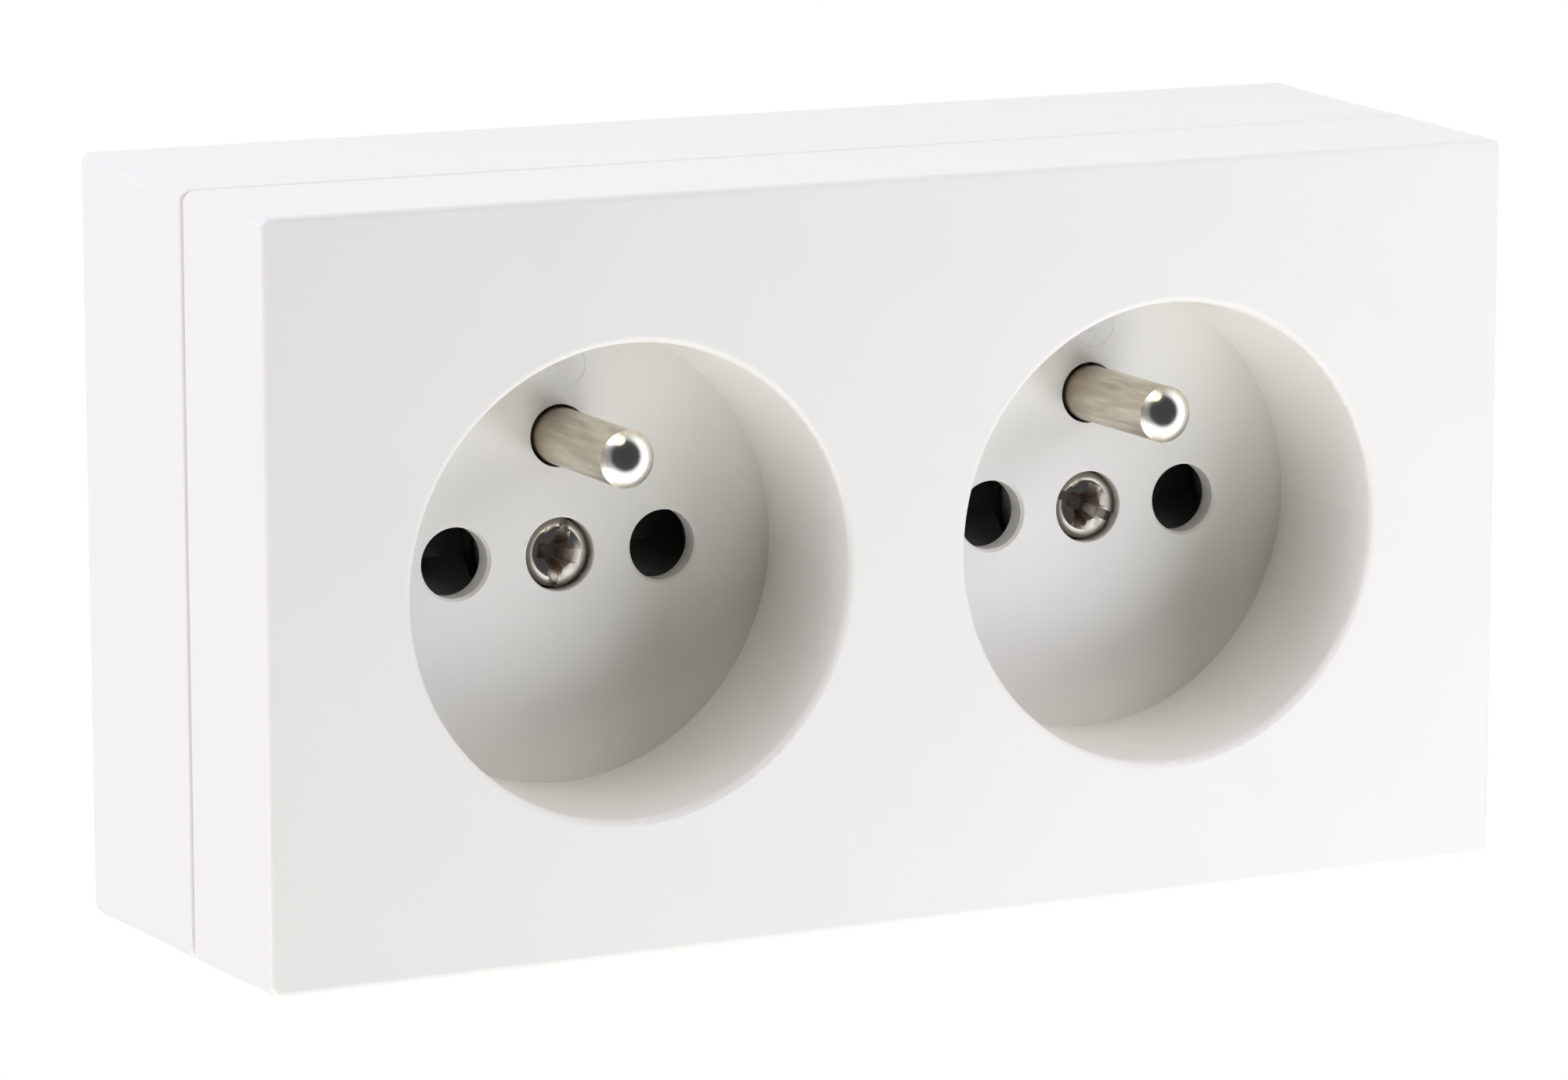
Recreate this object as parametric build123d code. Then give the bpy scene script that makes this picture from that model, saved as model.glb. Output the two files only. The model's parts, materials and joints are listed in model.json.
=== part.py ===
from build123d import *
import math
import os

# A double socket that is screwed to a wall: a rear wall box, a front cover with two round
# wells, and between them a base that carries contacts, earth pins, terminals and shutters.
#
# Frame: the origin is the middle of the wall face, +X is right, +Z is up, and the socket
# looks along -Y. A depth is a distance in front of the wall. All lengths are millimetres.

# Outer form, which widens a little from the front to the seam and on to the wall
FRONT_W = 114.6
FRONT_H = 63.0
SEAM_FLARE_X = 0.5
SEAM_FLARE_Z = 0.4
REAR_FLARE_X = 0.6
REAR_FLARE_Z = 1.1
DEPTH = 38.2
SEAM_DEPTH = 22.3
SEAM_GAP = 0.6
CORNER_R = 1.0
FRONT_EDGE_R = 0.55
SEAM_EDGE_R = 0.3
SEAM_RIM_INSET = 0.4
SEAM_RIM_GAP = 0.05
WALL = 2.0
FRONT_T = 2.2

# Rear strip of the wall box, set in a little beside the wall
FOOT_DEPTH = 1.3
FOOT_INSET = 0.12

# Lip of the cover, which locates it in the mouth of the wall box
LIP_L = 1.7
LIP_T = 0.85
LIP_CLEARANCE = 0.1
LIP_END_GAP = 0.3

# Wells, which stand a little nearer the middle than the quarters of the front's width
WELL_INWARD = 3.55
WELL_DROP = 0.3
WELL_RIM_R = 19.7
WELL_FLOOR_R = 19.4
WELL_WALL = 1.8
WELL_EDGE_R = 0.6
FLOOR_T = 1.9

# Pin holes of the wells, for plug pins 4.8 mm thick and 19 mm long
PLUG_PIN_R = 2.4
PLUG_PIN_L = 19.0
PLUG_PIN_END_GAP = 0.6
PIN_PITCH = 19.0
PIN_HOLE_CLEARANCE = 0.6
PIN_HOLE_LEAD = 0.25

# Earth pins
EARTH_OFFSET = 10.0
EARTH_PIN_R = 2.4
EARTH_SHANK_R = 2.2
EARTH_TIP_BEHIND_FRONT = 0.2
EARTH_TIP_H = 1.15
EARTH_HOLE_CLEARANCE = 0.25
EARTH_NECK_ABOVE_FLOOR = 0.1
EARTH_FLANGE_R = 3.6
EARTH_FLANGE_T = 1.7
EARTH_RIVET_R = 1.8
EARTH_RIVET_HEAD_R = 2.8
EARTH_RIVET_HEAD_T = 0.8

# Screws that hold the cover, one in the middle of each well
COVER_SCREW_R = 1.95
COVER_SCREW_HEAD_R = 2.9
COVER_SCREW_HEAD_T = 2.3
COVER_SCREW_L = 12.1
RECESS_R = 3.1
RECESS_DEPTH = 2.6
RECESS_EDGE_R = 0.15
SCREW_EDGE_R = 0.8
BOSS_R = 4.5
BOSS_HOLE_CLEARANCE = 0.25
DRIVER_SLOT_L = 6.0
DRIVER_SLOT_T = 0.85
DRIVER_SLOT_DEPTH = 0.8
DRIVER_CROSS_T = 1.3
DRIVER_CROSS_W = 4.0
DRIVER_CROSS_TIP_W = 1.5
DRIVER_CROSS_DEPTH = 1.9
DRIVER_PIT_R = 1.3
DRIVER_PIT_TIP_R = 0.6
LEFT_SLOT_ANGLE = 77.0
RIGHT_SLOT_ANGLE = -26.0

# Threaded inserts in the base, for the cover screws
INSERT_R = 3.1
INSERT_T = 5.8
THREAD_CLEARANCE = 0.05
INSERT_BELOW_TOP = 0.2
BOSS_END_GAP = 0.3

# Ribs inside the cover
RIB_T = 1.2
RIB_START_DEPTH = 26.0

# Wall box
BACK_T = 2.0
WALL_SCREW_X = 80.0
WALL_SCREW_Z = 52.0
WALL_SLOT_R = 2.25
WALL_SLOT_L = 8.0
CABLE_OPENING_W = 26.0
CABLE_OPENING_H = 7.0
CABLE_OPENING_Z = 25.7
KNOCKOUT_W = 19.0
KNOCKOUT_D = 15.0
KNOCKOUT_SKIN = 0.8
KNOCKOUT_START = 4.0
KNOCKOUT_X = 32.0

# Pillars of the wall box, ears of the base and the screws between them
EAR_DEPTH = 8.0
EAR_T = 2.4
EAR_H = 9.0
PILLAR_R = 3.2
BASE_SCREW_R = 1.45
BASE_SCREW_HEAD_R = 2.8
BASE_SCREW_HEAD_T = 1.9
BASE_SCREW_EDGE = 0.7
BASE_SCREW_L = 7.6
EAR_HOLE_CLEARANCE = 0.25

# Base that carries the metal parts
BASE_SIDE = 5.5
BASE_H = 43.0
BASE_CORNER_R = 2.0
BASE_FLOOR_T = 1.0
CORE_WALL = 1.5
CORE_END = 3.0
POCKET_CLEARANCE = 0.25
CHAMBER_W = 8.0
CHAMBER_H = 7.2
WIRE_CHANNEL_W = 4.4

# Brass strips and the jaws that stand on them
STRIP_T = 0.6
STRIP_W = 5.0
JAW_T = 0.5
JAW_H = 6.0
JAW_FOOT_HALF = 3.1
JAW_THROAT = 4.4
JAW_MOUTH_HALF = 3.3
JAW_KNEE_UP = 2.6
JAW_MOUTH_L = 2.8
JAW_BELOW_TOP = 0.8
LIVE_STRIP_Z = -10.0
NEUTRAL_STRIP_Z = 16.5
EARTH_STRIP_T = 1.0
EARTH_STRIP_W = 6.4
EARTH_STRIP_BELOW_TOP = 3.2
EARTH_STRIP_OVERHANG = 3.9
EARTH_ARM_W = 6.0

# Terminals
TERMINAL_SIDE = 6.6
TERMINAL_H = 7.0
EARTH_TERMINAL_H = 6.5
TERMINAL_EDGE = 0.3
TERMINAL_X = 7.0
TERMINAL_Z = 16.5
LIVE_TERMINAL_Z = 2.0
WIRE_HOLE_R = 1.7
WIRE_HOLE_UP = 2.6
TERMINAL_SCREW_R = 1.45
TERMINAL_SCREW_HEAD_R = 2.4
TERMINAL_SCREW_HEAD_T = 1.8
TERMINAL_SCREW_PROUD = 0.4
TERMINAL_SLOT_T = 0.8
TERMINAL_SLOT_DEPTH = 0.8

# Contact covers, which close the base and guide the shutters
GUIDE_PLATE_T = 1.5
GUIDE_TOP = 13.2
GUIDE_RAIL_T = 1.4
GUIDE_RAIL_GAP = 0.4
GUIDE_HOLE_R = 3.1
GUIDE_BOSS_GAP = 0.5
GUIDE_PEG_R = 1.2
GUIDE_PEG_L = 3.0
GUIDE_PEG_END_GAP = 1.0
GUIDE_PEG_X = 12.8
GUIDE_PEG_Z = -16.8
SPRING_LEDGE_T = 1.4
STOP_H = 1.3
STOP_T = 3.6

# Shutters, which slide down when two pins press on their ramps together
SHUTTER_TRAVEL = 6.6
SHUTTER_ARM_IN = 5.2
SHUTTER_RAMP_IN = 6.5
SHUTTER_ARM_OUT = 13.6
SHUTTER_T = 5.5
SHUTTER_OPEN_MARGIN = 0.4
SHUTTER_FOOT_MARGIN = 0.8
SHUTTER_EDGE_T = 1.1
SHUTTER_KNEE_T = 2.4
SHUTTER_KNEE_Z = -0.3
SHUTTER_BRIDGE_TOP = -5.4
SHUTTER_BOTTOM = -8.2
SHUTTER_PLAY = 0.25
SHUTTER_STOP_GAP = 0.3
SPIGOT_R = 1.2
SPIGOT_L = 1.4

# Shutter springs
SPRING_WIRE_R = 0.22
SPRING_COIL_R = 1.65
SPRING_WIRE_SIDES = 4
SPRING_TURNS = 4.0
SPRING_SHUT_L = 4.4
SPRING_SEAT_GAP = 0.1

# Places that follow from the sizes above
SEAM_W = FRONT_W + 2 * SEAM_FLARE_X
SEAM_H = FRONT_H + 2 * SEAM_FLARE_Z
REAR_W = FRONT_W + 2 * REAR_FLARE_X
REAR_H = FRONT_H + 2 * REAR_FLARE_Z
WELL_Z = -WELL_DROP
SOCKET_PITCH = FRONT_W / 2 - 2 * WELL_INWARD
WELL_X = {"left": -SOCKET_PITCH / 2, "right": SOCKET_PITCH / 2}
STRIP_DEPTH = BACK_T + BASE_FLOOR_T
STRIP_TOP = STRIP_DEPTH + STRIP_T
FLOOR_DEPTH = STRIP_TOP + JAW_T + PLUG_PIN_END_GAP + PLUG_PIN_L
FLOOR_BACK = FLOOR_DEPTH - FLOOR_T
PIN_HOLE_R = PLUG_PIN_R + PIN_HOLE_CLEARANCE
EARTH_HOLE_R = EARTH_PIN_R + EARTH_HOLE_CLEARANCE
EARTH_Z = WELL_Z + EARTH_OFFSET
SCREW_SEAT = FLOOR_DEPTH - RECESS_DEPTH
SHUTTER_FRONT = FLOOR_BACK - SHUTTER_PLAY
SHUTTER_BACK = SHUTTER_FRONT - SHUTTER_T
GUIDE_TOP_DEPTH = SHUTTER_BACK - SHUTTER_PLAY
BASE_TOP_DEPTH = GUIDE_TOP_DEPTH - GUIDE_PLATE_T
BOSS_END = BASE_TOP_DEPTH + BOSS_END_GAP
BOSS_HOLE_R = COVER_SCREW_R + BOSS_HOLE_CLEARANCE
COVER_START = SEAM_DEPTH + SEAM_GAP / 2
BOX_END = SEAM_DEPTH - SEAM_GAP / 2
EARTH_STRIP_DEPTH = BASE_TOP_DEPTH - EARTH_STRIP_BELOW_TOP
EARTH_STRIP_TOP = EARTH_STRIP_DEPTH + EARTH_STRIP_T
INSERT_TOP = BASE_TOP_DEPTH - INSERT_BELOW_TOP
SHUTTER_TOP = SHUTTER_TRAVEL - PIN_HOLE_R - SHUTTER_OPEN_MARGIN
SHUTTER_RAMP_FOOT = -PIN_HOLE_R - SHUTTER_FOOT_MARGIN
SHUTTER_STOP_Z = SHUTTER_TOP + SHUTTER_STOP_GAP
SPRING_DEPTH = (SHUTTER_BACK + SHUTTER_FRONT) / 2
LEDGE_TOP = SHUTTER_BOTTOM - SHUTTER_TRAVEL - SPRING_SHUT_L
GUIDE_BOTTOM = LEDGE_TOP - SPRING_LEDGE_T
GUIDE_HALF_W = SHUTTER_ARM_OUT + GUIDE_RAIL_GAP + GUIDE_RAIL_T
BASE_W = SOCKET_PITCH + 2 * (GUIDE_HALF_W + BASE_SIDE)
EAR_X = (BASE_W / 2 + SEAM_W / 2 - WALL) / 2
LIVE_X = [x + PIN_PITCH / 2 for x in WELL_X.values()]
NEUTRAL_X = [x - PIN_PITCH / 2 for x in WELL_X.values()]
SLOT_ANGLE = {"left": LEFT_SLOT_ANGLE, "right": RIGHT_SLOT_ANGLE}
SIGN = {"left": -1, "right": 1}


def across(depth):
    """The plane parallel to the wall at a depth, with X right and Y up in it."""
    return Plane.XZ.offset(depth)


def plate(outline, near, far):
    """An outline drawn on the wall plane, filled between two depths."""
    return extrude(across(near) * outline, amount=far - near)


def block(x, z, w, h, near, far):
    """A square-edged block centred at x and z, between two depths."""
    return plate(Pos(x, z) * Rectangle(w, h), near, far)


def rod(x, z, r, near, far):
    """A round bar along the depth, centred at x and z."""
    return plate(Pos(x, z) * Circle(r), near, far)


def cone(x, z, r_near, r_far, near, far):
    """A cone along the depth, with a radius at each end."""
    return Pos(x, -(near + far) / 2, z) * Rot(X=90) * Cone(r_near, r_far, far - near)


def ring_of(size_near, size_far, near, far, inset=0.0):
    """The tapered body of the shell between two depths, set in by an inset on every side."""
    radius = max(CORNER_R - inset, 0.3)
    sections = []
    for (w, h), depth in ((size_near, near), (size_far, far)):
        sections.append(across(depth) * RectangleRounded(w - 2 * inset, h - 2 * inset, radius))
    return loft(sections)


def bar_between(z_from, z_to, x, w):
    """A rectangle of width w that runs up or down between two heights."""
    return Pos(x, (z_from + z_to) / 2) * Rectangle(w, abs(z_to - z_from))


def ends_at_depth(shape, depth):
    """The edges of a shape that lie at one depth."""
    return [e for e in shape.edges() if abs(e.center().Y + depth) < 0.01 and
            e.bounding_box().size.Y < 0.01]


def pin_places(side):
    """The x places of the two pin holes of one well."""
    return [WELL_X[side] - PIN_PITCH / 2, WELL_X[side] + PIN_PITCH / 2]


def cover_shell():
    """Outer skin of the cover, open to the rear, with its locating lip."""
    seam, front = (SEAM_W, SEAM_H), (FRONT_W, FRONT_H)
    skin = ring_of(seam, front, COVER_START, DEPTH)
    skin = fillet(ends_at_depth(skin, DEPTH), FRONT_EDGE_R)
    skin = fillet(ends_at_depth(skin, COVER_START), SEAM_EDGE_R)
    lip_inset = WALL - LIP_T
    lip = ring_of(seam, seam, COVER_START - LIP_L, COVER_START + LIP_L, lip_inset)
    hollow = ring_of(seam, front, COVER_START, DEPTH - FRONT_T, WALL)
    lip_hollow = ring_of(seam, seam, COVER_START - LIP_L, COVER_START, WALL)
    return skin + lip - hollow - lip_hollow


def cover_ribs():
    """Thin ribs behind the front that tie the wells to the skin."""
    top = FRONT_H / 2 - WALL / 2
    end = FRONT_W / 2 - WALL / 2
    front = DEPTH - FRONT_T / 2
    ribs = block(0, 0, RIB_T, 2 * top, RIB_START_DEPTH, front)
    for side, x in WELL_X.items():
        ribs += block(x, 0, RIB_T, 2 * top, RIB_START_DEPTH, front)
        outer = SIGN[side] * end
        ribs += block((x + outer) / 2, WELL_Z, abs(outer - x), RIB_T, RIB_START_DEPTH, front)
    return ribs


def well_body(x):
    """The cup that forms one well, seen from behind, with the boss for its screw."""
    cup = cone(x, WELL_Z, WELL_FLOOR_R + WELL_WALL, WELL_RIM_R + WELL_WALL, FLOOR_BACK, DEPTH - FRONT_T / 2)
    return cup + rod(x, WELL_Z, BOSS_R, BOSS_END, FLOOR_BACK + FLOOR_T / 2)


def well_cuts(side):
    """Everything that is open in one well: the well, its pin holes and its screw recess."""
    x = WELL_X[side]
    cuts = cone(x, WELL_Z, WELL_FLOOR_R, WELL_RIM_R, FLOOR_DEPTH, DEPTH)
    for pin_x in pin_places(side):
        cuts += rod(pin_x, WELL_Z, PIN_HOLE_R, FLOOR_BACK, FLOOR_DEPTH)
        lead = FLOOR_DEPTH - PIN_HOLE_LEAD
        cuts += cone(pin_x, WELL_Z, PIN_HOLE_R, PIN_HOLE_R + PIN_HOLE_LEAD, lead, FLOOR_DEPTH)
    cuts += rod(x, EARTH_Z, EARTH_HOLE_R, FLOOR_BACK, FLOOR_DEPTH)
    cuts += rod(x, WELL_Z, RECESS_R, SCREW_SEAT, FLOOR_DEPTH)
    cuts += rod(x, WELL_Z, BOSS_HOLE_R, BOSS_END, SCREW_SEAT)
    return cuts


def round_edges(shape, depth, radius):
    """The circular edges of one radius at one depth."""
    found = []
    for edge in ends_at_depth(shape, depth):
        if edge.geom_type == GeomType.CIRCLE and abs(edge.radius - radius) < 0.01:
            found.append(edge)
    return found


def front_cover():
    """The one moulding that closes the front: skin, wells, floors, bosses and ribs."""
    cover = cover_shell() + cover_ribs()
    for side in WELL_X:
        cover += well_body(WELL_X[side])
    for side in WELL_X:
        cover -= well_cuts(side)
    cover = fillet(round_edges(cover, DEPTH, WELL_RIM_R), WELL_EDGE_R)
    return fillet(round_edges(cover, FLOOR_DEPTH, RECESS_R), RECESS_EDGE_R)


def knockouts():
    """Pockets inside the long walls that leave a thin skin to break out for a cable."""
    cuts = Part()
    middle = KNOCKOUT_START + KNOCKOUT_D / 2
    slope = (REAR_H - SEAM_H) / 2 / SEAM_DEPTH
    half = REAR_H / 2 - slope * middle
    for x in (-KNOCKOUT_X, KNOCKOUT_X):
        for up in (-1, 1):
            pocket = Box(KNOCKOUT_W, KNOCKOUT_D, 2 * (WALL - KNOCKOUT_SKIN))
            tilt = -up * math.degrees(math.atan(slope))
            place = Pos(x, -middle, up * (half - WALL)) * Rot(X=tilt)
            cuts += place * pocket
    return cuts


def wall_box():
    """The rear box that is screwed to the wall and carries the base."""
    rear, seam = (REAR_W, REAR_H), (SEAM_W, SEAM_H)
    box = ring_of(rear, seam, FOOT_DEPTH, BOX_END)
    box = fillet(ends_at_depth(box, BOX_END), SEAM_EDGE_R)
    box += ring_of(rear, rear, 0, FOOT_DEPTH, FOOT_INSET)
    rim_end = COVER_START - SEAM_RIM_GAP
    box += ring_of(seam, seam, BOX_END, rim_end, SEAM_RIM_INSET)
    box -= ring_of(rear, seam, BACK_T, BOX_END, WALL)
    mouth_inset = WALL - LIP_T - LIP_CLEARANCE
    mouth = COVER_START - LIP_L - LIP_END_GAP
    box -= ring_of(seam, seam, mouth, rim_end, mouth_inset)
    for side in (-1, 1):
        box += rod(side * EAR_X, WELL_Z, PILLAR_R, BACK_T / 2, EAR_DEPTH)
        reach = REAR_W / 2 - WALL / 2 - EAR_X
        box += block(side * (EAR_X + reach / 2), WELL_Z, reach, RIB_T, BACK_T / 2, EAR_DEPTH)
        box -= rod(side * EAR_X, WELL_Z, BASE_SCREW_R + THREAD_CLEARANCE, BACK_T, EAR_DEPTH)
        for up in (-1, 1):
            place = Pos(side * WALL_SCREW_X / 2, up * WALL_SCREW_Z / 2)
            box -= plate(place * SlotOverall(WALL_SLOT_L, 2 * WALL_SLOT_R), 0, BACK_T)
    opening = Pos(0, CABLE_OPENING_Z) * SlotOverall(CABLE_OPENING_W, CABLE_OPENING_H)
    box -= plate(opening, 0, BACK_T)
    return box - knockouts()


def live_outline(grow=0.0):
    """Outline of the live strip: a run below the wells, an arm to each jaw and one to its terminal."""
    first, last = LIVE_X
    w = STRIP_W + 2 * grow
    outline = Pos((first + last) / 2, LIVE_STRIP_Z) * Rectangle(last - first + w, w)
    for x in LIVE_X:
        outline += bar_between(LIVE_STRIP_Z, WELL_Z + JAW_H / 2 + grow, x, w)
    return outline + bar_between(LIVE_STRIP_Z, LIVE_TERMINAL_Z + TERMINAL_SIDE / 2 + grow, 0, w)


def neutral_outline(grow=0.0):
    """Outline of the neutral strip: a run above the earth pins and an arm to each jaw."""
    first, last = NEUTRAL_X
    w = STRIP_W + 2 * grow
    outline = Pos((first + last) / 2, NEUTRAL_STRIP_Z) * Rectangle(last - first + w, w)
    for x in NEUTRAL_X:
        outline += bar_between(NEUTRAL_STRIP_Z, WELL_Z - JAW_H / 2 - grow, x, w)
    return outline


def earth_outline(grow=0.0):
    """Outline of the earth strip: a run between the earth pins and an arm to its terminal."""
    w = EARTH_STRIP_W + 2 * grow
    length = SOCKET_PITCH + 2 * EARTH_STRIP_OVERHANG + 2 * grow
    outline = Pos(0, EARTH_Z) * Rectangle(length, w)
    top = TERMINAL_Z + TERMINAL_SIDE / 2 + grow
    return outline + bar_between(EARTH_Z, top, TERMINAL_X, EARTH_ARM_W + 2 * grow)


def jaw_outline():
    """Centre line of a sprung jaw, seen from above, from one mouth to the other."""
    throat = JAW_THROAT / 2 + JAW_T / 2
    foot = STRIP_TOP + JAW_T / 2
    mouth = BASE_TOP_DEPTH - JAW_BELOW_TOP
    half = [
        (JAW_FOOT_HALF, foot),
        (JAW_FOOT_HALF, STRIP_TOP + JAW_KNEE_UP),
        (throat, mouth - JAW_MOUTH_L),
        (JAW_MOUTH_HALF, mouth),
    ]
    points = [(-x, -depth) for x, depth in reversed(half)]
    points += [(x, -depth) for x, depth in half]
    return Polyline(points)


def contact_jaw(x):
    """One sprung jaw, folded from strip, that grips a plug pin at x."""
    bottom = WELL_Z - JAW_H / 2
    folded = trace(jaw_outline(), JAW_T)
    return extrude(Plane.XY.offset(bottom) * Pos(x, 0) * folded, amount=JAW_H)


def terminal_pocket(x, z, start):
    """Room for one terminal in the base, from a depth to the base's top."""
    side = TERMINAL_SIDE + 2 * POCKET_CLEARANCE
    return block(x, z, side, side, start, BASE_TOP_DEPTH)


def base_cores():
    """Pockets that keep the base's walls even, where no metal lies."""
    cuts = Part()
    core_w = BASE_SIDE - CORE_WALL
    core_x = BASE_W / 2 - CORE_WALL - core_w / 2
    core_h = BASE_H - 2 * CORE_END
    for side in (-1, 1):
        cuts += block(side * core_x, WELL_Z, core_w, core_h, STRIP_DEPTH, BASE_TOP_DEPTH)
    high = -CHAMBER_H / 2 - CORE_END
    low = -BASE_H / 2 + CORE_WALL
    core_w = 2 * (GUIDE_PEG_X - GUIDE_PEG_R - CORE_WALL)
    outline = Pos(WELL_X["left"], WELL_Z) * bar_between(low, high, 0, core_w)
    return cuts + plate(outline, STRIP_DEPTH, BASE_TOP_DEPTH)


def socket_base():
    """The moulding that carries the strips, jaws, inserts and terminals."""
    outline = Pos(0, WELL_Z) * RectangleRounded(BASE_W, BASE_H, BASE_CORNER_R)
    base = plate(outline, BACK_T, BASE_TOP_DEPTH)
    for side in (-1, 1):
        ear_w = EAR_X + PILLAR_R - BASE_W / 2 + WALL
        ear_x = side * (BASE_W / 2 - WALL + ear_w / 2)
        ear = Pos(ear_x, WELL_Z) * RectangleRounded(ear_w, EAR_H, BASE_CORNER_R)
        base += plate(ear, EAR_DEPTH, EAR_DEPTH + EAR_T)
    base -= plate(live_outline(POCKET_CLEARANCE), STRIP_DEPTH, BASE_TOP_DEPTH)
    base -= plate(neutral_outline(POCKET_CLEARANCE), STRIP_DEPTH, BASE_TOP_DEPTH)
    for x in LIVE_X + NEUTRAL_X:
        base -= block(x, WELL_Z, CHAMBER_W, CHAMBER_H, STRIP_DEPTH, BASE_TOP_DEPTH)
    base -= plate(earth_outline(POCKET_CLEARANCE), EARTH_STRIP_DEPTH, BASE_TOP_DEPTH)
    base -= terminal_pocket(-TERMINAL_X, TERMINAL_Z, STRIP_DEPTH)
    base -= terminal_pocket(0, LIVE_TERMINAL_Z, STRIP_DEPTH)
    base -= terminal_pocket(TERMINAL_X, TERMINAL_Z, EARTH_STRIP_DEPTH)
    top = WELL_Z + BASE_H / 2
    wire_start = STRIP_TOP + WIRE_HOLE_UP - WIRE_HOLE_R
    for x, low in ((-TERMINAL_X, TERMINAL_Z), (0, LIVE_TERMINAL_Z)):
        base -= plate(bar_between(low, top, x, WIRE_CHANNEL_W), wire_start, BASE_TOP_DEPTH)
    base -= base_cores()
    for side, x in WELL_X.items():
        rivet_room = EARTH_RIVET_HEAD_R + POCKET_CLEARANCE
        rivet_start = EARTH_STRIP_DEPTH - EARTH_RIVET_HEAD_T - POCKET_CLEARANCE
        base -= rod(x, EARTH_Z, rivet_room, rivet_start, EARTH_STRIP_DEPTH)
        base -= rod(x, EARTH_Z, EARTH_FLANGE_R + POCKET_CLEARANCE, EARTH_STRIP_DEPTH, BASE_TOP_DEPTH)
        insert_start = INSERT_TOP - INSERT_T
        base -= rod(x, WELL_Z, INSERT_R + THREAD_CLEARANCE, insert_start, BASE_TOP_DEPTH)
        base -= rod(x, WELL_Z, BOSS_HOLE_R, STRIP_TOP, insert_start)
        peg_hole = GUIDE_PEG_R + THREAD_CLEARANCE
        peg_start = BASE_TOP_DEPTH - GUIDE_PEG_L - GUIDE_PEG_END_GAP
        for peg in (-1, 1):
            base -= rod(x + peg * GUIDE_PEG_X, WELL_Z + GUIDE_PEG_Z, peg_hole, peg_start, BASE_TOP_DEPTH)
        ear_hole = BASE_SCREW_R + EAR_HOLE_CLEARANCE
        base -= rod(SIGN[side] * EAR_X, WELL_Z, ear_hole, EAR_DEPTH, EAR_DEPTH + EAR_T)
    return base


def live_busbar():
    """Brass strip that joins the two live jaws."""
    return plate(live_outline(), STRIP_DEPTH, STRIP_TOP)


def neutral_busbar():
    """Brass strip that joins the two neutral jaws."""
    return plate(neutral_outline(), STRIP_DEPTH, STRIP_TOP)


def earth_busbar():
    """Strip in front of the others that both earth pins are riveted to."""
    strip = plate(earth_outline(), EARTH_STRIP_DEPTH, EARTH_STRIP_TOP)
    for x in WELL_X.values():
        strip -= rod(x, EARTH_Z, EARTH_RIVET_R + THREAD_CLEARANCE, EARTH_STRIP_DEPTH, EARTH_STRIP_TOP)
    return strip


def earth_pin(side):
    """Turned pin with a round tip, a flange and a riveted tail."""
    tip = DEPTH - EARTH_TIP_BEHIND_FRONT
    neck = FLOOR_DEPTH + EARTH_NECK_ABOVE_FLOOR
    flange_end = EARTH_STRIP_TOP + EARTH_FLANGE_T
    rivet_start = EARTH_STRIP_DEPTH - EARTH_RIVET_HEAD_T
    rim = tip - EARTH_TIP_H
    curve = (EARTH_PIN_R ** 2 + EARTH_TIP_H ** 2) / (2 * EARTH_TIP_H)
    profile = Polyline(
        (0, rim),
        (0, rivet_start),
        (EARTH_RIVET_HEAD_R, rivet_start),
        (EARTH_RIVET_HEAD_R, EARTH_STRIP_DEPTH),
        (EARTH_RIVET_R, EARTH_STRIP_DEPTH),
        (EARTH_RIVET_R, EARTH_STRIP_TOP),
        (EARTH_FLANGE_R, EARTH_STRIP_TOP),
        (EARTH_FLANGE_R, flange_end),
        (EARTH_SHANK_R, flange_end),
        (EARTH_SHANK_R, neck),
        (EARTH_PIN_R, neck),
        (EARTH_PIN_R, rim),
    )
    dome = RadiusArc((EARTH_PIN_R, rim), (0, tip), -curve)
    axis = Line((0, tip), (0, rim))
    outline = make_face(Curve() + [profile, dome, axis])
    turned = revolve(outline, Axis.Y)
    return Pos(WELL_X[side], 0, EARTH_Z) * Rot(Z=180) * turned


def terminal(x, z, start, height):
    """Brass block with a hole for the wire along Z and a hole for its screw from the front."""
    body = block(x, z, TERMINAL_SIDE, TERMINAL_SIDE, start, start + height)
    body = chamfer(ends_at_depth(body, start + height), TERMINAL_EDGE)
    wire = Pos(x, -(start + WIRE_HOLE_UP), z) * Cylinder(WIRE_HOLE_R, 2 * TERMINAL_SIDE)
    screw = rod(x, z, TERMINAL_SCREW_R + THREAD_CLEARANCE, start + WIRE_HOLE_UP, start + height)
    return body - wire - screw


def terminal_screw(x, z, start, height):
    """Slotted screw of one terminal, backed off a little."""
    under_head = start + height + TERMINAL_SCREW_PROUD
    head_end = under_head + TERMINAL_SCREW_HEAD_T
    screw = rod(x, z, TERMINAL_SCREW_R, start + WIRE_HOLE_UP + WIRE_HOLE_R / 2, under_head)
    screw += rod(x, z, TERMINAL_SCREW_HEAD_R, under_head, head_end)
    slot_start = head_end - TERMINAL_SLOT_DEPTH
    screw -= block(x, z, 2 * TERMINAL_SCREW_HEAD_R, TERMINAL_SLOT_T, slot_start, head_end)
    return screw


def driver_recess(x, z, head_end, angle):
    """Slot across the head with a tapered cross and a pit in its middle."""
    turn = Pos(x, z) * Rot(Z=angle)
    slot = turn * Rectangle(DRIVER_SLOT_L, DRIVER_SLOT_T)
    cut = plate(slot, head_end - DRIVER_SLOT_DEPTH, head_end)
    low = head_end - DRIVER_CROSS_DEPTH
    for quarter in (0, 90):
        arm = turn * Rot(Z=quarter)
        wide = across(head_end) * arm * Rectangle(DRIVER_CROSS_W, DRIVER_CROSS_T)
        narrow = across(low) * arm * Rectangle(DRIVER_CROSS_TIP_W, DRIVER_CROSS_T / 2)
        cut += loft([narrow, wide])
    return cut + cone(x, z, DRIVER_PIT_TIP_R, DRIVER_PIT_R, low, head_end)


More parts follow.
